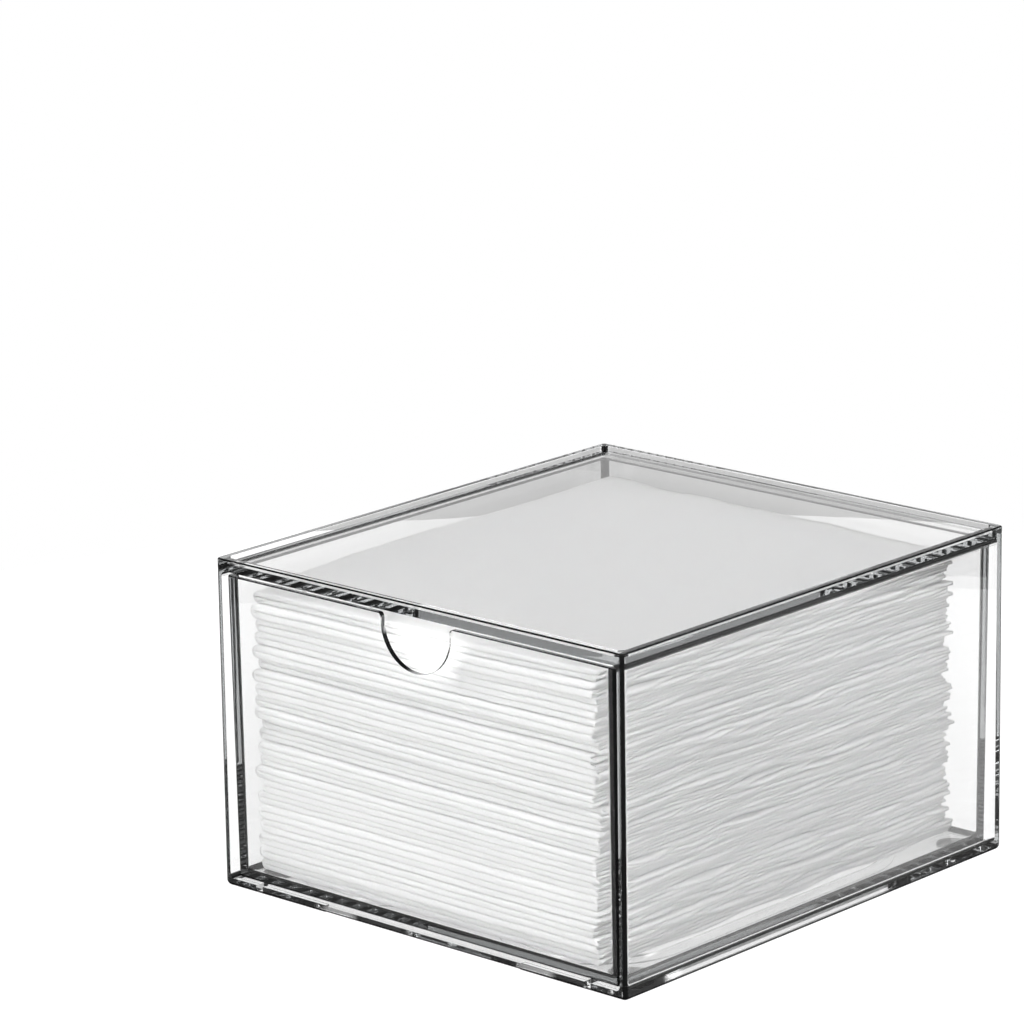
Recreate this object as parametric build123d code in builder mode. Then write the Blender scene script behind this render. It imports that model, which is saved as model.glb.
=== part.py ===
from build123d import *
from math import radians, sin, tan
import os

os.makedirs("parts", exist_ok=True)

# A clear moulded box, open at the front, with a clear drawer that slides out of it and holds
# a stack of folded cotton tissues. Millimetres. X runs across the front, Y from front to back
# and Z up. The origin is the middle of the footprint, on the surface the box stands on.

# ---------------------------------------------------------------- the case
case_width = 165.0
case_depth = 181.0
case_height = 106.0
case_wall = 2.2            # side walls and back
case_corner = 1.6          # outer vertical corners
case_bottom_edge = 1.8     # rounding along the bottom of the outer walls
top_thickness = 2.2        # the top panel
rim_height = 1.6           # stacking rim, above the top panel
rim_width = 2.4
rim_corner = 2.4           # inside corners of the rim
rim_edge = 0.6             # rounding along the rim's outer edge
opening_corner = 2.0       # corners of the opening, as seen from the front
floor_thickness = 2.0
stand_height = 0.8         # from the table to the underside of the case's floor

# What is moulded under the case's floor
skirt_thickness = 3.0
skirt_run = 42.0           # how far the skirt follows the front and back from each corner
skirt_lift = 0.15          # the skirt ends this far above the table
window_side_margin = 16.9  # from the sides in to the two round-ended windows in the floor
window_front_margin = 11.0
window_back_margin = 27.0
window_bar = 31.2          # floor left between the two windows
lip_width = 4.6            # flat lip around each window
lip_drop = 0.4
gate_radius = 1.6          # mark where the plastic was let in
gate_drop = 0.4

# ---------------------------------------------------------------- the drawer
drawer_wall = 1.8
drawer_floor = 1.7
draft = 0.6                # degrees that the drawer narrows by, on every side, towards its floor
drawer_corner = 1.8        # vertical corners of the drawer, outside
drawer_inside_corner = 2.6
drawer_bottom_edge = 0.9   # rounding between its walls and its underside
drawer_inside_edge = 1.8   # rounding between its walls and its floor, inside
drawer_top_edge = 0.4
notch_width = 28.0         # finger notch in the middle of the front
notch_depth = 16.6
notch_shoulder = 1.5       # rounding where the notch meets the top edge
nub_inset = 15.0           # from the case's side in to the middle of a stop nub
nub_width = 2.0
nub_length = 2.6
nub_drop = 1.2             # how far a nub reaches down into the case's floor

# Clearances between the drawer and the case, at the drawer's top edge
side_gap = 1.1
top_gap = 1.5
bottom_gap = 0.4
front_recess = 1.0
back_gap = 1.5
nub_gap = 0.4              # around a nub in its slot

# ---------------------------------------------------------------- the bumper feet
foot_radius = 5.0
foot_edge = 0.3
foot_side_inset = 11.5     # from the case's side in to the middle of a foot
foot_end_inset = 13.5      # from its front or back

# ---------------------------------------------------------------- the folded tissues
tissue_pitch = 4.14        # height that each folded tissue takes in the stack
tissue_gap = 0.2           # air between one tissue and the next
tissue_slip = 0.7          # how far a tissue lies out of line with the stack
tissue_edge = 0.6          # rounding of its loose edges
slip_turn = 137.5          # degrees from one tissue's slip to the next, so that none line up
# Clearances between the stack and the inside of the drawer, at the drawer's floor
stack_left_gap = 2.4       # beside the folds
stack_right_gap = 10.8
stack_front_gap = 3.0
stack_back_gap = 3.4
stack_floor_gap = 0.3
stack_headroom = 3.4       # at least this much stays free under the drawer's top edge

# ---------------------------------------------------------------- worked out from these
cut_margin = 2.0           # how far a cut runs past the face it opens

case_floor_top = stand_height + floor_thickness
cavity_top = case_height - rim_height - top_thickness
cavity_width = case_width - 2 * case_wall
cavity_height = cavity_top - case_floor_top
case_front = -case_depth / 2
case_back = case_depth / 2

drawer_bottom = case_floor_top + bottom_gap
drawer_top = cavity_top - top_gap
drawer_height = drawer_top - drawer_bottom
drawer_width = cavity_width - 2 * side_gap
drawer_front = case_front + front_recess
drawer_back = case_back - case_wall - back_gap
drawer_depth = drawer_back - drawer_front
drawer_middle = (drawer_front + drawer_back) / 2
taper = drawer_height * tan(radians(draft))
inside_top_width = drawer_width - 2 * drawer_wall
inside_top_depth = drawer_depth - 2 * drawer_wall
inside_taper = (drawer_height - drawer_floor) * tan(radians(draft))

nub_front = drawer_front + taper + drawer_bottom_edge
nub_back = nub_front + nub_length
nub_x = case_width / 2 - nub_inset

window_length = case_depth - window_front_margin - window_back_margin
window_width = (case_width - 2 * window_side_margin - window_bar) / 2
window_x = (window_width + window_bar) / 2
window_y = case_front + window_front_margin + window_length / 2
foot_x = case_width / 2 - foot_side_inset
foot_y = case_depth / 2 - foot_end_inset

tissue_height = tissue_pitch - tissue_gap
stack_right = inside_top_width / 2 - inside_taper - stack_right_gap
stack_front = drawer_front + drawer_wall + inside_taper + stack_front_gap + tissue_slip
stack_bottom = drawer_bottom + drawer_floor + stack_floor_gap
tissue_width = inside_top_width - 2 * inside_taper - stack_left_gap - stack_right_gap
tissue_length = inside_top_depth - 2 * inside_taper - stack_front_gap - stack_back_gap
tissue_count = int((drawer_top - stack_headroom - stack_bottom) / tissue_pitch)


# ---------------------------------------------------------------- case
with BuildPart() as case:
    # outer block, from the underside of the skirt to the top of the rim
    with BuildSketch(Plane.XY.offset(skirt_lift)):
        RectangleRounded(case_width, case_depth, case_corner)
    extrude(amount=case_height - skirt_lift)
    fillet(case.faces().sort_by(Axis.Z)[-1].edges(), rim_edge)
    fillet(case.faces().sort_by(Axis.Z)[0].edges(), case_bottom_edge)

    # the shallow tray on top, inside the stacking rim
    with BuildSketch(Plane.XY.offset(case_height)):
        RectangleRounded(case_width - 2 * rim_width, case_depth - 2 * rim_width, rim_corner)
    extrude(amount=-rim_height, mode=Mode.SUBTRACT)

    # the space for the drawer, open at the front
    with BuildSketch(Plane.XZ.offset(case_depth / 2)):
        with Locations((0, (case_floor_top + cavity_top) / 2)):
            RectangleRounded(cavity_width, cavity_height, opening_corner)
    extrude(amount=-(case_depth - case_wall), mode=Mode.SUBTRACT)

    # the underside of the floor, which leaves the skirt: whole along the sides, and open in the
    # middle of the front and back
    with BuildSketch(Plane.XY.offset(skirt_lift)):
        Rectangle(case_width - 2 * skirt_thickness, case_depth - 2 * skirt_thickness)
        Rectangle(case_width - 2 * skirt_run, case_depth + cut_margin)
    extrude(amount=stand_height - skirt_lift, mode=Mode.SUBTRACT)

    # flat lips under the floor, one around each window
    with BuildSketch(Plane.XY.offset(stand_height - lip_drop)):
        with Locations((-window_x, window_y), (window_x, window_y)):
            SlotOverall(window_length + 2 * lip_width, window_width + 2 * lip_width, rotation=90)
    extrude(amount=lip_drop)

    # the two windows through the lips and the floor
    with BuildSketch(Plane.XY.offset(stand_height - lip_drop)):
        with Locations((-window_x, window_y), (window_x, window_y)):
            SlotOverall(window_length, window_width, rotation=90)
    extrude(amount=lip_drop + floor_thickness, mode=Mode.SUBTRACT)

    # two slots in the floor's front edge, where the drawer's nubs stop it when it is closed
    with BuildSketch(Plane.XY.offset(stand_height)):
        slot_length = nub_back + nub_gap - case_front
        with Locations((-nub_x, case_front + slot_length / 2), (nub_x, case_front + slot_length / 2)):
            Rectangle(nub_width + 2 * nub_gap, slot_length)
    extrude(amount=floor_thickness, mode=Mode.SUBTRACT)

    # gate mark in the middle of the floor
    with BuildSketch(Plane.XY.offset(stand_height - gate_drop)):
        Circle(gate_radius)
    extrude(amount=gate_drop)

case.part.label = "case"
export_step(case.part, "parts/case.step")


# ---------------------------------------------------------------- drawer
with BuildPart() as drawer:
    # the outside, narrowing towards the floor
    with BuildSketch(Plane.XY.offset(drawer_top)):
        with Locations((0, drawer_middle)):
            RectangleRounded(drawer_width, drawer_depth, drawer_corner)
    extrude(amount=-drawer_height, taper=draft)
    fillet(drawer.faces().sort_by(Axis.Z)[0].edges(), drawer_bottom_edge)

# the hollow is its own body, rounded along its bottom, and then taken out of the drawer
with BuildPart() as hollow:
    with BuildSketch(Plane.XY.offset(drawer_top)):
        with Locations((0, drawer_middle)):
            RectangleRounded(inside_top_width, inside_top_depth, drawer_inside_corner)
    extrude(amount=-(drawer_height - drawer_floor), taper=draft)
    fillet(hollow.faces().sort_by(Axis.Z)[0].edges(), drawer_inside_edge)

with drawer:
    add(hollow.part, mode=Mode.SUBTRACT)
    fillet(drawer.faces().sort_by(Axis.Z)[-1].edges(), drawer_top_edge)

    # finger notch through the front panel: rounded shoulders, straight sides and a half circle
    notch_radius = notch_width / 2
    notch_mouth = notch_radius + notch_shoulder
    notch_bend = drawer_top - notch_depth + notch_radius
    shoulder_bottom = drawer_top - notch_shoulder
    shoulder_mid_x = notch_mouth - notch_shoulder * sin(radians(45))
    shoulder_mid_z = shoulder_bottom + notch_shoulder * sin(radians(45))
    with BuildSketch(Plane.XZ.offset(-drawer_front + cut_margin)):
        with BuildLine():
            ThreePointArc((-notch_mouth, drawer_top), (-shoulder_mid_x, shoulder_mid_z),
                          (-notch_radius, shoulder_bottom))
            Line((-notch_radius, shoulder_bottom), (-notch_radius, notch_bend))
            ThreePointArc((-notch_radius, notch_bend), (0, drawer_top - notch_depth),
                          (notch_radius, notch_bend))
            Line((notch_radius, notch_bend), (notch_radius, shoulder_bottom))
            ThreePointArc((notch_radius, shoulder_bottom), (shoulder_mid_x, shoulder_mid_z),
                          (notch_mouth, drawer_top))
            Polyline((notch_mouth, drawer_top), (notch_mouth, drawer_top + cut_margin),
                     (-notch_mouth, drawer_top + cut_margin), (-notch_mouth, drawer_top))
        make_face()
    extrude(amount=-(drawer_wall + taper + 2 * cut_margin), mode=Mode.SUBTRACT)

    # stop nubs under the floor, near the front
    with BuildSketch(Plane.XY.offset(drawer_bottom - nub_drop)):
        with Locations((-nub_x, nub_front + nub_length / 2), (nub_x, nub_front + nub_length / 2)):
            Rectangle(nub_width, nub_length)
    extrude(amount=nub_drop + drawer_floor / 2)

drawer.part.label = "drawer"
export_step(drawer.part, "parts/drawer.step")


# ---------------------------------------------------------------- bumper feet
foot_places = {
    "foot_front_left": (-foot_x, -foot_y),
    "foot_front_right": (foot_x, -foot_y),
    "foot_back_left": (-foot_x, foot_y),
    "foot_back_right": (foot_x, foot_y),
}


def make_foot(name, place):
    """A round pad, stuck under the case's floor and rounded where it meets the table."""
    with BuildPart() as foot:
        with BuildSketch(Plane.XY):
            with Locations(place):
                Circle(foot_radius)
        extrude(amount=stand_height)
        fillet(foot.faces().sort_by(Axis.Z)[0].edges(), foot_edge)
    foot.part.label = name
    export_step(foot.part, "parts/" + name + ".step")


for foot_name, foot_place in foot_places.items():
    make_foot(foot_name, foot_place)


# ---------------------------------------------------------------- folded tissues


def make_tissue(index):
    """One folded tissue: a soft slab with a round fold on the left and loose edges elsewhere."""
    name = "tissue_" + format(index + 1, "02d")
    slip_x = tissue_slip * sin(radians(slip_turn * index))
    slip_y = tissue_slip * sin(radians(slip_turn * index + slip_turn / 2))
    bottom = stack_bottom + index * tissue_pitch
    middle = bottom + tissue_height / 2
    right = stack_right + slip_x
    fold = right - tissue_width + tissue_height / 2
    front = stack_front + slip_y
    with BuildPart() as tissue:
        with BuildSketch(Plane.XZ.offset(-front)):
            with BuildLine():
                lower = Line((fold, bottom), (right, bottom))
                loose = Line(lower @ 1, (right, bottom + tissue_height))
                upper = Line(loose @ 1, (fold, bottom + tissue_height))
                ThreePointArc(upper @ 1, (fold - tissue_height / 2, middle), lower @ 0)
            make_face()
        extrude(amount=-tissue_length)
        fillet(tissue.faces().sort_by(Axis.X)[-1].edges().filter_by(Axis.Y), tissue_edge)
    tissue.part.label = name
    export_step(tissue.part, "parts/" + name + ".step")


for tissue_index in range(tissue_count):
    make_tissue(tissue_index)
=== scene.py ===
# %% [markdown]
# # A clear stacking box with a drawer full of folded cotton tissues
# The real thing is two clear mouldings, one sliding in the other, on four clear pads.
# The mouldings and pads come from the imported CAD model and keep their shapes.
# Blender gives them their finish, and turns each plain tissue block into folded cotton.

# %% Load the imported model
import math

import bpy
import numpy as np
from mathutils import Matrix, Vector


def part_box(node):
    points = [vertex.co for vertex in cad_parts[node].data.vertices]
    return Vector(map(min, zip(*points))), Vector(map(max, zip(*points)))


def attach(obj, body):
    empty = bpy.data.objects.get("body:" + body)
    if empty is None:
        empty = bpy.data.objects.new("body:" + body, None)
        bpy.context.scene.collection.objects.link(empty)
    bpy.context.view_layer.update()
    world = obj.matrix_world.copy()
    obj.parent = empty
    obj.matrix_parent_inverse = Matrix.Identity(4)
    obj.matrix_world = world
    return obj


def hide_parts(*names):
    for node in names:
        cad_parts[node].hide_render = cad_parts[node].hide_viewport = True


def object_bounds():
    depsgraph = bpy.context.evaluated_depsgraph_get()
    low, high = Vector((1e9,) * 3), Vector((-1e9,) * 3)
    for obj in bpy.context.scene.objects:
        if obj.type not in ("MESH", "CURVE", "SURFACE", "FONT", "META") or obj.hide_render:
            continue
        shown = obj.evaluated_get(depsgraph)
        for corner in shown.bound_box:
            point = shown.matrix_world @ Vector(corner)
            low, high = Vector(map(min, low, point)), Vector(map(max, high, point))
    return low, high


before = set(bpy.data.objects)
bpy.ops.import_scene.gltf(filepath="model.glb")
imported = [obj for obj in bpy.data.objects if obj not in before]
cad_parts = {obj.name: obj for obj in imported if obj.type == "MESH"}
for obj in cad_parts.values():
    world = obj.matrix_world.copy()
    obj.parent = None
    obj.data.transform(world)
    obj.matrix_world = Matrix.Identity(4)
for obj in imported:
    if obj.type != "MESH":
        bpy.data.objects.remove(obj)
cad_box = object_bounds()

MM = 0.001
print("CAD box, m:", cad_box)

# %% [markdown]
# ## Where the camera stands
# A product picture is taken from a few metres away with a long lens, so that upright edges
# stay nearly parallel. The place below was worked out from the seven corners of the box that
# show: the camera looks at the box from the front right, a little above it. It is given as a
# turn round the box, a rise, a roll, and how far the camera stands from the box's middle along
# its own directions, which is easier to read than a matrix.

# %% The camera
PICTURE = 1024  # the picture's width and height in pixels
TURN, RISE, ROLL = math.radians(42.32), math.radians(15.11), math.radians(-0.91)
ASIDE = Vector((-31.75, 60.15, 1662.59)) * MM  # along the camera's own right, up and back
FOCAL_PIXELS = 5344.5
SENSOR = 36.0  # mm
NEAREST, FURTHEST = 0.05, 50  # m from the camera; nothing nearer or further is drawn

low, high = Vector(cad_box[0]), Vector(cad_box[1])
middle = (low + high) / 2
back = Vector((math.sin(TURN) * math.cos(RISE), -math.cos(TURN) * math.cos(RISE), math.sin(RISE)))
right = Vector((math.cos(TURN), math.sin(TURN), 0))
up = back.cross(right)
rolled_right = right * math.cos(ROLL) + up * math.sin(ROLL)
rolled_up = up * math.cos(ROLL) - right * math.sin(ROLL)
turned = Matrix((rolled_right, rolled_up, back)).transposed()

lens = bpy.data.cameras.new("camera")
lens.sensor_width = SENSOR
lens.lens = FOCAL_PIXELS * SENSOR / PICTURE
lens.clip_start, lens.clip_end = NEAREST, FURTHEST
camera = bpy.data.objects.new("camera", lens)
bpy.context.scene.collection.objects.link(camera)
camera.matrix_world = Matrix.Translation(middle + turned @ ASIDE) @ turned.to_4x4()
bpy.context.scene.camera = camera
print("lens, mm:", round(lens.lens, 1), " camera at:", tuple(round(v, 3) for v in camera.location))

# %% [markdown]
# ## Two helpers for colours and nodes
# Colours are written as the hex values that a screen shows. Shaders work in linear light,
# so one function converts them. A second one adds a node to any tree, sets what it is told
# to, and links an input wherever it gets a socket instead of a number.

# %% Helpers
def linear(hex_colour):
    """The linear RGBA of a screen colour such as #f6f6f5."""
    parts = [int(hex_colour[i:i + 2], 16) / 255 for i in (1, 3, 5)]
    return [p / 12.92 if p <= 0.04045 else ((p + 0.055) / 1.055) ** 2.4 for p in parts] + [1.0]


def add(tree, kind, inputs=None, **settings):
    """Adds a node with its settings. An input given a socket is linked, any other is set."""
    node = tree.nodes.new(kind)
    for name, value in settings.items():
        setattr(node, name, value)
    for name, value in (inputs or {}).items():
        if isinstance(value, bpy.types.NodeSocket):
            tree.links.new(value, node.inputs[name])
        else:
            node.inputs[name].default_value = value
    return node


print("white cotton in linear light:", [round(c, 3) for c in linear("#f6f6f5")])

# %% [markdown]
# ## Light for clear plastic
# Clear plastic has no colour of its own to show. What makes it readable is what it bends into
# view. The walls are seen against a white table and a white horizon, so they stay bright. Light
# that has run along inside the top panel leaves it 15 degrees up or down, past the lit part of
# the table, into a dark room, so the panel's edge goes dark. A card behind the box brightens
# that edge where it points straight at the card. Photographers call this bright field.
# Two large soft lights, one from the left and a stronger one from the right, are for the
# cotton, with a weak one overhead and two weak fills for its back. All of it is a world that
# changes with direction, which gives less noise than small lamps would. Where the camera looks
# past the object, the world is plain white.

# %% The surroundings
ROOM_LEVEL = 0.14
BACKDROP_LEVEL = 1.0  # what the camera sees past the object
HORIZON_LOW, HORIZON_HIGH, HORIZON_EDGE = -0.16, 0.10, 0.06  # sines of the rise
CARDS = {  # turn from the camera's own side, rise, inner and outer half-angle in degrees, level
    "card behind": (180, -2, 24, 34, 0.62),
    "soft light from the left": (-38, 28, 16, 38, 8.9),
    "soft light from the right": (42, 24, 14, 38, 14.6),
    "fill behind on the left": (-132, 32, 10, 32, 1.8),
    "fill behind on the right": (132, 32, 10, 32, 1.8),
    "soft light overhead": (0, 90, 20, 50, 0.3),
}

world = bpy.data.worlds.new("studio")
bpy.context.scene.world = world
world.use_nodes = True
tree = world.node_tree
tree.nodes.clear()
direction = add(tree, "ShaderNodeTexCoord").outputs["Generated"]
rise = add(tree, "ShaderNodeSeparateXYZ", {"Vector": direction}).outputs["Z"]
rising = add(tree, "ShaderNodeMapRange", {
    "Value": rise, "From Min": HORIZON_LOW - HORIZON_EDGE, "From Max": HORIZON_LOW},
    interpolation_type="SMOOTHSTEP")
falling = add(tree, "ShaderNodeMapRange", {
    "Value": rise, "From Min": HORIZON_HIGH + HORIZON_EDGE, "From Max": HORIZON_HIGH},
    interpolation_type="SMOOTHSTEP")
level = add(tree, "ShaderNodeMath", {
    0: rising.outputs["Result"], 1: falling.outputs["Result"]}, operation="MINIMUM").outputs[0]
level = add(tree, "ShaderNodeMath", {0: level, 1: ROOM_LEVEL}, operation="MAXIMUM").outputs[0]
for turn, height, inner, outer, bright in CARDS.values():
    around, above = TURN + math.radians(turn), math.radians(height)
    towards = (math.sin(around) * math.cos(above), -math.cos(around) * math.cos(above),
               math.sin(above))
    facing = add(tree, "ShaderNodeVectorMath", {0: direction, 1: towards}, operation="DOT_PRODUCT")
    card = add(tree, "ShaderNodeMapRange", {
        "Value": facing.outputs["Value"], "From Min": math.cos(math.radians(outer)),
        "From Max": math.cos(math.radians(inner)), "To Min": 0.0, "To Max": bright,
    }, interpolation_type="SMOOTHSTEP")
    level = add(tree, "ShaderNodeMath", {
        0: level, 1: card.outputs["Result"]}, operation="MAXIMUM").outputs[0]
seen = add(tree, "ShaderNodeLightPath")
strength = add(tree, "ShaderNodeMix", {
    0: seen.outputs["Is Camera Ray"], 2: level, 3: BACKDROP_LEVEL}, data_type="FLOAT")
glow = add(tree, "ShaderNodeBackground", {"Color": (1, 1, 1, 1), "Strength": strength.outputs[0]})
add(tree, "ShaderNodeOutputWorld", {"Surface": glow.outputs[0]})
print("cards in the room:", len(CARDS))

# %% [markdown]
# ## The floor
# The box stands on a round white table that is lit from below. That glow makes it white where
# the camera, or a ray through the plastic, sees it, and it is much weaker where the plastic
# only mirrors it, so that the lower edges stay dark. The table ends a little way off. A share
# of plain matt grey on top of the glow takes the object's shadow, so that the box stands and
# doesn't float.

# %% The floor
FLOOR_REACH = 0.42  # its radius; light that leaves the top panel's edge passes over it
FLOOR_SIDES = 96
FLOOR_SINK = 0.05 * MM  # just under the pads, so that the two faces don't fight
FLOOR_GLOW, FLOOR_MIRRORED = 0.95, 0.10  # seen straight or through the plastic, and reflected in it
FLOOR_MATT_DARKER, FLOOR_MATT = "#5c5c5c", "#606060"
SPECKLES_PER_METRE = 900.0
SPECKLE_LEAST = 0.9  # how far the speckle keeps from the darker of the two greys

white_table = bpy.data.materials.new("white matt acrylic table")
white_table.use_nodes = True
tree = white_table.node_tree
tree.nodes.clear()
place = add(tree, "ShaderNodeTexCoord").outputs["Object"]
seen = add(tree, "ShaderNodeLightPath").outputs
shown = add(tree, "ShaderNodeMath", {
    0: seen["Is Camera Ray"], 1: seen["Is Transmission Ray"]}, operation="MAXIMUM")
shown = add(tree, "ShaderNodeMath", {0: shown.outputs[0], 1: FLOOR_GLOW}, operation="MULTIPLY")
mirrored = add(tree, "ShaderNodeMath", {
    0: seen["Is Glossy Ray"], 1: FLOOR_MIRRORED}, operation="MULTIPLY")
glow_level = add(tree, "ShaderNodeMath", {
    0: shown.outputs[0], 1: mirrored.outputs[0]}, operation="MAXIMUM")
glow = add(tree, "ShaderNodeEmission", {"Color": (1, 1, 1, 1), "Strength": glow_level.outputs[0]})
speckle = add(tree, "ShaderNodeTexNoise", {
    "Vector": place, "Scale": SPECKLES_PER_METRE, "Detail": 2.0})
tone = add(tree, "ShaderNodeMapRange", {
    "Value": speckle.outputs["Fac"], "To Min": SPECKLE_LEAST, "To Max": 1.0})
matt_colour = add(tree, "ShaderNodeMix", {
    0: tone.outputs["Result"], 6: linear(FLOOR_MATT_DARKER), 7: linear(FLOOR_MATT)},
    data_type="RGBA")
matt = add(tree, "ShaderNodeBsdfDiffuse", {"Color": matt_colour.outputs[2]})
both = add(tree, "ShaderNodeAddShader", {0: glow.outputs[0], 1: matt.outputs[0]})
add(tree, "ShaderNodeOutputMaterial", {"Surface": both.outputs[0]})

rim = [Vector((math.cos(a), math.sin(a), 0)) * FLOOR_REACH - Vector((0, 0, FLOOR_SINK))
       for a in np.linspace(0, 2 * math.pi, FLOOR_SIDES + 1)[:-1]]
floor_mesh = bpy.data.meshes.new("floor")
floor_mesh.from_pydata([tuple(v) for v in rim], [], [tuple(range(len(rim)))])
floor_mesh.materials.append(white_table)
floor = bpy.data.objects.new("floor", floor_mesh)
bpy.context.scene.collection.objects.link(floor)
print("floor, m across:", 2 * FLOOR_REACH)

# %% [markdown]
# ## Clear moulded polystyrene
# The case and the drawer are injection-moulded in polished steel, in crystal polystyrene:
# stiff, bright and clear, with a high refractive index of 1.59. Both keep the CAD solids,
# so the walls have a real thickness for light to run along. A long way through the plastic
# takes light away, which greys the edges, while a wall is too thin to show it. A rounded edge
# is where light is thrown furthest aside, so little of it comes back. That darkening is painted:
# a painted shade, a near-black matt tone, is mixed into the plastic where its surface turns from
# one flat side to the next, and the angle between the surface and the box's own directions says
# where. The drawer's roundings are the smaller ones, so the painted shade covers more of their
# turn. A very weak long ripple, as melt leaves when it cools in the mould, keeps the reflections
# from being ruler-straight.

# %% Clear polystyrene
POLYSTYRENE_IOR = 1.59
RIPPLE_LENGTH = 22 * MM
RIPPLE_HEIGHT = 0.01 * MM
BODY_TINT, ABSORBED_PER_METRE = "#b4b7b8", 8.5
# painted shade on the edges: near-black is mixed in where the surface turns from a flat side
PAINTED_SHADE_EDGES = {  # cosines of the angle to the nearest flat side: fully dark below, fully clear above
    "case": (0.92, 0.975),
    "drawer": (0.95, 0.99),
}
# the painted shade: at most this share of it at the edges, and its near-black tone
PAINTED_SHADE_MOST, PAINTED_SHADE_TONE = 0.97, "#080808"


def polystyrene(name, dark_below, clear_above):
    """Clear polystyrene, with painted shade where the surface turns from one side to the next."""
    material = bpy.data.materials.new(name)
    material.use_nodes = True
    tree = material.node_tree
    tree.nodes.clear()
    coordinates = add(tree, "ShaderNodeTexCoord").outputs
    facing = add(tree, "ShaderNodeVectorMath", {0: coordinates["Normal"]}, operation="ABSOLUTE")
    sides = add(tree, "ShaderNodeSeparateXYZ", {"Vector": facing.outputs["Vector"]}).outputs
    flattest = add(tree, "ShaderNodeMath", {0: sides["X"], 1: sides["Y"]}, operation="MAXIMUM")
    flattest = add(tree, "ShaderNodeMath", {
        0: flattest.outputs[0], 1: sides["Z"]}, operation="MAXIMUM")
    # the painted shade's share, from the angle to the nearest flat side
    painted_shade_mask = add(tree, "ShaderNodeMapRange", {
        "Value": flattest.outputs[0], "From Min": dark_below, "From Max": clear_above,
        "To Min": PAINTED_SHADE_MOST, "To Max": 0.0}, interpolation_type="SMOOTHSTEP")
    ripple = add(tree, "ShaderNodeTexNoise", {
        "Vector": coordinates["Object"], "Scale": 1 / RIPPLE_LENGTH, "Detail": 1.0})
    bump = add(tree, "ShaderNodeBump", {
        "Height": ripple.outputs["Fac"], "Strength": 1.0, "Distance": RIPPLE_HEIGHT})
    clear = add(tree, "ShaderNodeBsdfPrincipled", {
        "Base Color": (1, 1, 1, 1), "Roughness": 0.0, "IOR": POLYSTYRENE_IOR,
        "Transmission Weight": 1.0, "Normal": bump.outputs["Normal"]})
    # the painted shade itself, a plain near-black matt
    painted_shade = add(tree, "ShaderNodeBsdfDiffuse", {"Color": linear(PAINTED_SHADE_TONE)})
    surface = add(tree, "ShaderNodeMixShader", {
        0: painted_shade_mask.outputs["Result"], 1: clear.outputs[0], 2: painted_shade.outputs[0]})
    body = add(tree, "ShaderNodeVolumeAbsorption", {
        "Color": linear(BODY_TINT), "Density": ABSORBED_PER_METRE})
    add(tree, "ShaderNodeOutputMaterial", {
        "Surface": surface.outputs[0], "Volume": body.outputs[0]})
    return material


for name, (dark_below, clear_above) in PAINTED_SHADE_EDGES.items():
    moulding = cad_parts[name]
    moulding.material_slots[0].link = "OBJECT"
    moulding.material_slots[0].material = polystyrene(
        "crystal polystyrene, moulded and polished, " + name, dark_below, clear_above)
    print(name, "triangles:", len(moulding.data.polygons))

# %% [markdown]
# ## Clear silicone pads
# The four pads are small discs of soft clear silicone, glued under the case's floor. Silicone
# bends light less than polystyrene and its skin is slightly dull, so they stay quiet.

# %% Clear silicone
SILICONE_IOR = 1.41
SILICONE_TINT = "#f6f8f8"
DUST_GRAIN = 0.9 * MM
LEAST_DULL, MOST_DULL = 0.08, 0.22  # roughness

silicone = bpy.data.materials.new("clear silicone rubber, moulded")
silicone.use_nodes = True
tree = silicone.node_tree
tree.nodes.clear()
place = add(tree, "ShaderNodeTexCoord").outputs["Object"]
dust = add(tree, "ShaderNodeTexNoise", {
    "Vector": place, "Scale": 1 / DUST_GRAIN, "Detail": 3.0})
dull = add(tree, "ShaderNodeMapRange", {
    "Value": dust.outputs["Fac"], "To Min": LEAST_DULL, "To Max": MOST_DULL})
rubber = add(tree, "ShaderNodeBsdfPrincipled", {
    "Base Color": linear(SILICONE_TINT), "Roughness": dull.outputs["Result"], "IOR": SILICONE_IOR,
    "Transmission Weight": 1.0})
add(tree, "ShaderNodeOutputMaterial", {"Surface": rubber.outputs[0]})

feet = [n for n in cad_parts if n.startswith("foot_")]
for name in feet:
    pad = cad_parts[name]
    pad.material_slots[0].link = "OBJECT"
    pad.material_slots[0].material = silicone
print("pads:", len(feet))

# %% [markdown]
# ## Cotton tissue cloth
# Each tissue is a soft cotton non-woven: fibres laid flat and bonded by water jets, with no
# threads. It is matt, a little translucent, and a felt of fine fibres roughens its skin.
# The fibres are finer than the picture shows, so their felt is drawn coarser than life.

# %% Cotton
FIBRE_TANGLE = 1.5 * MM
FIBRE_CLOUD = 6 * MM
FELT_DEPTH = 0.12 * MM
COTTON_WHITE, COTTON_WHITEST = "#f6f6f5", "#fcfcfb"
LIGHT_SPREAD = 4.5 * MM  # how far light wanders among the fibres
LIGHT_THROUGH = 0.22  # the share of light that comes out on the far side

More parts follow.
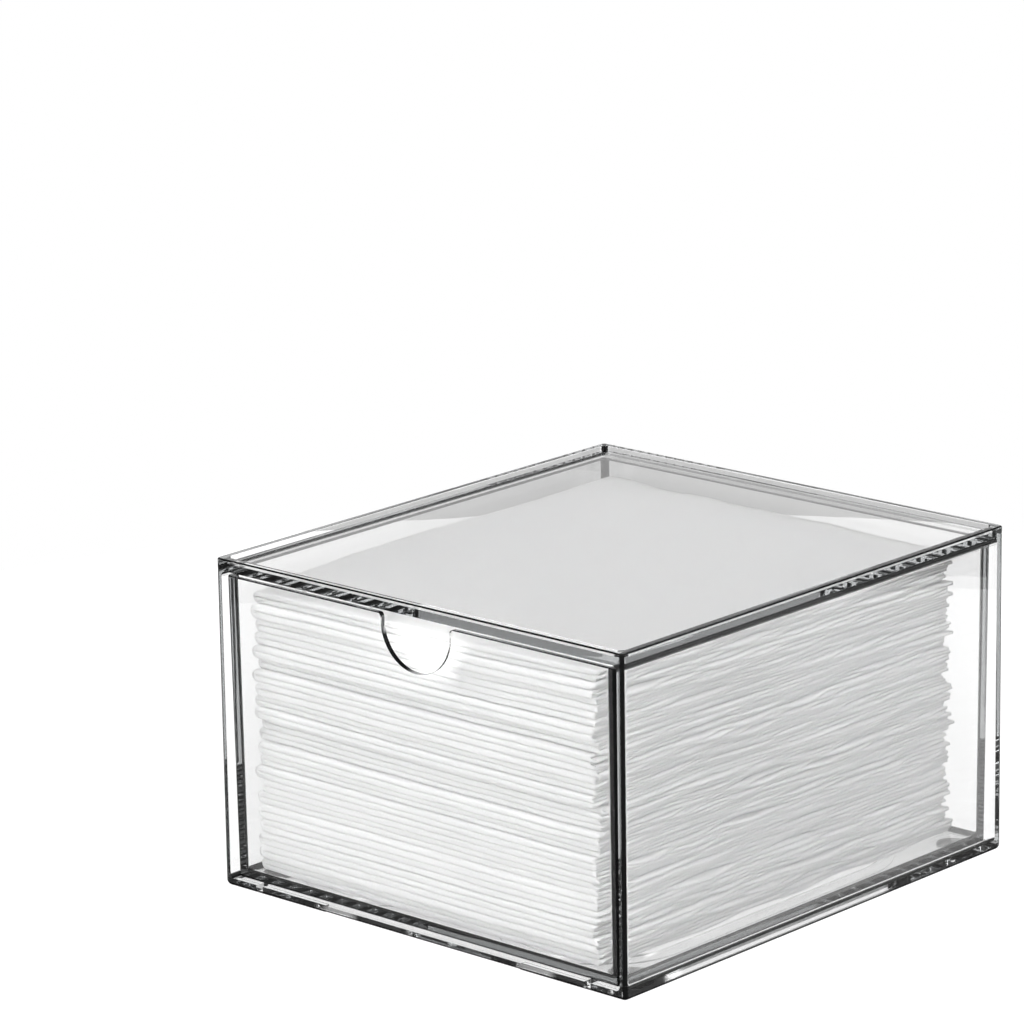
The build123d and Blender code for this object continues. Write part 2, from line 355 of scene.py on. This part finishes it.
cotton = bpy.data.materials.new("white cotton non-woven, hydro-bonded")
cotton.use_nodes = True
tree = cotton.node_tree
tree.nodes.clear()
place = add(tree, "ShaderNodeTexCoord").outputs["Object"]
tangle = add(tree, "ShaderNodeTexNoise", {"Vector": place, "Scale": 1 / FIBRE_TANGLE, "Detail": 4.0})
cloud = add(tree, "ShaderNodeTexNoise", {"Vector": place, "Scale": 1 / FIBRE_CLOUD, "Detail": 2.0})
colour = add(tree, "ShaderNodeMix", {
    0: cloud.outputs["Fac"], 6: linear(COTTON_WHITE), 7: linear(COTTON_WHITEST)},
    data_type="RGBA")
felt = add(tree, "ShaderNodeBump", {
    "Height": tangle.outputs["Fac"], "Strength": 0.6, "Distance": FELT_DEPTH})
skin = add(tree, "ShaderNodeBsdfPrincipled", {
    "Base Color": colour.outputs[2], "Roughness": 0.95, "Sheen Weight": 0.15,
    "Sheen Roughness": 0.5, "Specular IOR Level": 0.2, "Subsurface Weight": 1.0,
    "Subsurface Radius": (1, 1, 1), "Subsurface Scale": LIGHT_SPREAD,
    "Normal": felt.outputs["Normal"]})
inside = add(tree, "ShaderNodeBsdfTranslucent", {"Color": colour.outputs[2]})
fibres = add(tree, "ShaderNodeMixShader", {
    0: LIGHT_THROUGH, 1: skin.outputs[0], 2: inside.outputs[0]})
add(tree, "ShaderNodeOutputMaterial", {"Surface": fibres.outputs[0]})
print("light wanders in the cotton, mm:", round(LIGHT_SPREAD / MM, 1))

# %% [markdown]
# ## How a tissue is folded
# A tissue is one oblong sheet folded in half twice. The first fold lies at the front, the
# second, round one at the left, and the four layers end in raw edges at the right and back.
# A cloth solver would need minutes for twenty-two of them. Folding by formula is exact: the
# sheet's two directions each run along a U, a wide one from right to left and back, and a
# narrow one from back to front and back, and the narrow one rides on the wide one.

# %% The two folds
CLOTH_SHARE = 0.238  # thickness of the sheet, fibres and all, as a share of a folded tissue's
LAYERS = 4
FINE_STEP, COARSE_STEP, EDGE_ZONE = 1.7 * MM, 3.4 * MM, 12 * MM


def run_points(length):
    """Distances from a fold to a raw edge, closer together near both ends."""
    edge = np.arange(0, EDGE_ZONE, FINE_STEP)
    inner = np.linspace(EDGE_ZONE, length - EDGE_ZONE,
                        int((length - 2 * EDGE_ZONE) / COARSE_STEP) + 2)
    return np.concatenate([edge, inner, length - edge[::-1]])


def folded_line(length, radius, reach, arc_steps):
    """A U lying on its side: out and up along it, and the way its outer side faces.

    out is the distance from the fold's own centre towards the raw edges, and up the height over
    that centre. out is negative in the bend, which reaches out by its radius, or by less where
    the fold is pressed blunt."""
    run = run_points(length)
    bend = np.linspace(-math.pi / 2, math.pi / 2, arc_steps + 2)[1:-1]
    out = np.concatenate([run[::-1], -reach * np.cos(bend), run])
    up = np.concatenate([
        np.full(len(run), -radius), radius * np.sin(bend), np.full(len(run), radius)])
    face_out = np.concatenate([np.zeros(len(run)), -np.cos(bend), np.zeros(len(run))])
    face_up = np.concatenate([np.full(len(run), -1.0), np.sin(bend), np.full(len(run), 1.0)])
    return out, up, face_out, face_up


example = folded_line(140 * MM, 1.1 * MM, 1.1 * MM, 9)
print("points along the wide fold's direction:", len(example[0]))

# %% [markdown]
# ## How the stack lies
# No two tissues are equally puffy, so each has a height of its own. None lies quite straight
# either: the whole stack has gentle waves, which grow towards its top and change a little from
# one tissue to the next. A tissue ends, but for a little air, where the next one starts, so
# neighbours never cross. Smooth hills from a few sine waves, with seeded random directions,
# give the waves, and also make the folds and, more so, the raw edges wander.

# %% Waves
USUAL_PEAK = 1.2  # how high a sum of sines gets, as a share of the root of their number


def hills(x, y, seed, longest, drift=0.0, count=5):
    """Smooth random heights of about -1 to 1, with waves from longest down to a third of it.

    A drift moves every wave on a little, each by its own amount."""
    random = np.random.default_rng(seed)
    total = np.zeros(np.broadcast(x, y).shape)
    for _ in range(count):
        wave = 2 * math.pi / (longest * random.uniform(0.33, 1.0))
        heading, phase = random.uniform(0, 2 * math.pi, 2)
        phase += drift * random.uniform(0.4, 1.6)
        total += np.sin(wave * (x * math.cos(heading) + y * math.sin(heading)) + phase)
    return total / math.sqrt(count) / USUAL_PEAK


sample = hills(np.linspace(0, 140 * MM, 50), 0, 1, 60 * MM)
print("hills along a line, lowest and highest:", round(sample.min(), 2), round(sample.max(), 2))

# %% [markdown]
# ## Sharing out the stack's height
# The CAD blocks give the height of the whole stack. It is shared out among the tissues by how
# puffy each one is, and then the waves are laid over them.

# %% Height of each tissue in the stack
tissue_names = sorted(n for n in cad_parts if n.startswith("tissue_"))
stack_low, stack_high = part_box(tissue_names[0])[0][2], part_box(tissue_names[-1])[1][2]
AIR = 0.06 * MM  # left free between two tissues
THIN, THICK = 0.86, 1.22  # how much the tissues' heights vary, as shares
STACK_WAVE = 130 * MM  # the longest of the stack's waves
WAVE_HEIGHT = 0.8 * MM  # at the stack's top
WAVE_DRIFT = 0.28  # how far the waves move on from one tissue to the next, in radians
WAVE_SINK = 0.5  # the share of their height by which the waves lie below the flat stack
PUFF_SEED, WAVE_SEED = 8, 100

puffiness = np.random.default_rng(PUFF_SEED).uniform(THIN, THICK, len(tissue_names))
heights = puffiness / puffiness.sum() * (stack_high - stack_low)
floors = stack_low + np.concatenate([[0], np.cumsum(heights)])


def tissue_floor(index, x, y):
    """The height at which tissue number index starts, at each x and y."""
    wave = WAVE_HEIGHT * math.sqrt(index / len(tissue_names))
    waves = hills(x, y, WAVE_SEED, STACK_WAVE, WAVE_DRIFT * index)
    return floors[index] + wave * (waves - WAVE_SINK)


print("tissues:", len(tissue_names), " heights, mm:", np.round(heights / MM, 1).tolist())

# %% [markdown]
# ## Where each tissue's points lie
# Each tissue takes its place from its own CAD block: the folds reach the block's left side
# and front, and the layers end at its right and back, give or take a small slip. A few
# tissues lie a little further back than the rest.

# %% The shape of one tissue
EDGE_WANDER = 1.1 * MM  # of the raw edges at the right and back
SIDE_FOLD_WANDER, FRONT_FOLD_WANDER = 0.5 * MM, 0.2 * MM
LONGEST_WANDER = {"left": 70 * MM, "right": 60 * MM, "front": 60 * MM, "back": 50 * MM}
LAYER_APART = 0.5  # m between the layers' places in the hills, so that each wanders in its own way
BLUNT = 0.18  # how round the front folds are, where the stack is pressed
WIDE_STEPS, NARROW_STEPS = 9, 5  # points in the bend of each U
SLIP = 0.8 * MM  # how far out of line a tissue's folds lie, on top of the CAD block's own slip
SLIP_SIDEWAYS, SLIP_FORWARDS = (-1.0, 0.8), (-0.5, 0.5)  # least and most of it, as shares
SET_BACK = {9: 1.2 * MM, 10: 2.4 * MM, 11: 1.6 * MM, 16: 1.0 * MM}  # tissues pushed back a little
FIRST_SEED, SEED_STEP = 1000, 10


def tissue_shape(index, name):
    """The places of the folded sheet's points, its thickness, and its size when laid flat."""
    (x0, y0, _), (x1, y1, _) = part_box(name)
    seed = FIRST_SEED + SEED_STEP * index
    random = np.random.default_rng(seed)
    x0 += random.uniform(*SLIP_SIDEWAYS) * SLIP
    y0 += SET_BACK.get(index, 0.0) + random.uniform(*SLIP_FORWARDS) * SLIP
    thick = heights[index] - AIR
    cloth = CLOTH_SHARE * thick
    gap = (thick - cloth) / (LAYERS - 1)  # between the middles of two layers
    wide_radius, narrow_radius = gap, gap / 2
    wide_out, wide_up, wide_face_out, wide_face_up = folded_line(
        x1 - x0 - wide_radius - narrow_radius - cloth / 2, wide_radius, wide_radius, WIDE_STEPS)
    narrow_out, narrow_up, _, _ = folded_line(
        y1 - y0 - narrow_radius - cloth / 2, narrow_radius, BLUNT * narrow_radius, NARROW_STEPS)

    # the wide U gives x and z, and the narrow U stands out from it, along its outer side
    lift = -narrow_up[None, :]
    x = wide_out[:, None] + wide_face_out[:, None] * lift
    z = wide_up[:, None] + wide_face_up[:, None] * lift
    y = np.repeat(narrow_out[None, :], len(wide_out), axis=0)
    x = x + x0 + wide_radius + narrow_radius + cloth / 2
    y = y + y0 + narrow_radius + cloth / 2
    share = 0.5 + z / thick  # 0 at the tissue's underside and 1 at its top

    # the folds wander as one, and the raw edges each layer in its own way
    layer_place = LAYER_APART * np.round(share * LAYERS - 0.5)
    from_left, from_front = (x - x0) / (x1 - x0), (y - y0) / (y1 - y0)
    x = x + (1 - from_left) * SIDE_FOLD_WANDER * hills(y, 0 * y, seed, LONGEST_WANDER["left"])
    x = x + from_left * EDGE_WANDER * hills(y, layer_place, seed + 1, LONGEST_WANDER["right"])
    y = y + (1 - from_front) * FRONT_FOLD_WANDER * hills(x, 0 * x, seed + 2, LONGEST_WANDER["front"])
    y = y + from_front * EDGE_WANDER * hills(x, layer_place, seed + 3, LONGEST_WANDER["back"])

    bottom = tissue_floor(index, x, y)
    top = tissue_floor(index + 1, x, y) - AIR
    z = bottom + share * (top - bottom)

    # the flat sheet is as long as both runs and the bend of each U
    flat = tuple(2 * run + math.pi * radius for run, radius in (
        (wide_out[0], wide_radius), (narrow_out[0], narrow_radius)))
    return np.stack([x, y, z], axis=2), cloth, flat


print("thickness of the lowest tissue's cloth, mm:",
      round(CLOTH_SHARE * (heights[0] - AIR) / MM, 2))

# %% [markdown]
# ## From points to cloth
# The points form a grid, so each square of four neighbours is one face. A Solidify modifier
# gives the sheet its thickness, half to each side. The finished sheet replaces the CAD block,
# rides in the drawer, and rests on the tissue below it.

# %% One tissue
def make_tissue(index, name):
    """Makes the folded sheet in place of one block, and returns its size when laid flat."""
    places, cloth, flat = tissue_shape(index, name)
    across, along = places.shape[:2]
    first = (np.arange(across - 1)[:, None] * along + np.arange(along - 1)[None, :]).ravel()
    faces = np.stack([first, first + along, first + along + 1, first + 1], axis=1)
    mesh = bpy.data.meshes.new("folded_" + name)
    mesh.from_pydata(places.reshape(-1, 3).tolist(), [], faces.tolist())
    mesh.polygons.foreach_set("use_smooth", np.ones(len(mesh.polygons), bool))
    mesh.materials.append(cotton)
    tissue = bpy.data.objects.new("folded_" + name, mesh)
    bpy.context.scene.collection.objects.link(tissue)
    solid = tissue.modifiers.new("cloth thickness", "SOLIDIFY")
    solid.thickness, solid.offset = cloth, 0.0

    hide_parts(name)
    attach(tissue, "drawer")
    return flat


# %% All the tissues
flats = [make_tissue(index, name) for index, name in enumerate(tissue_names)]
for direction, sizes in zip(("left to right", "front to back"), zip(*flats)):
    print("laid flat,", direction + ", mm:", round(min(sizes) / MM), "to", round(max(sizes) / MM))

# %% [markdown]
# ## Render settings for clear walls
# A ray to the cotton and out again meets the four surfaces of two walls twice, and one that
# runs along inside a wall is mirrored many times over. Too low a limit turns such places
# black, the drawer's corners first.

# %% Light paths
cycles = bpy.context.scene.cycles
cycles.max_bounces = 110
cycles.transmission_bounces = 36
cycles.glossy_bounces = 100
cycles.transparent_max_bounces = 24
bpy.context.scene.view_settings.view_transform = "Standard"
print("bounces:", cycles.max_bounces)
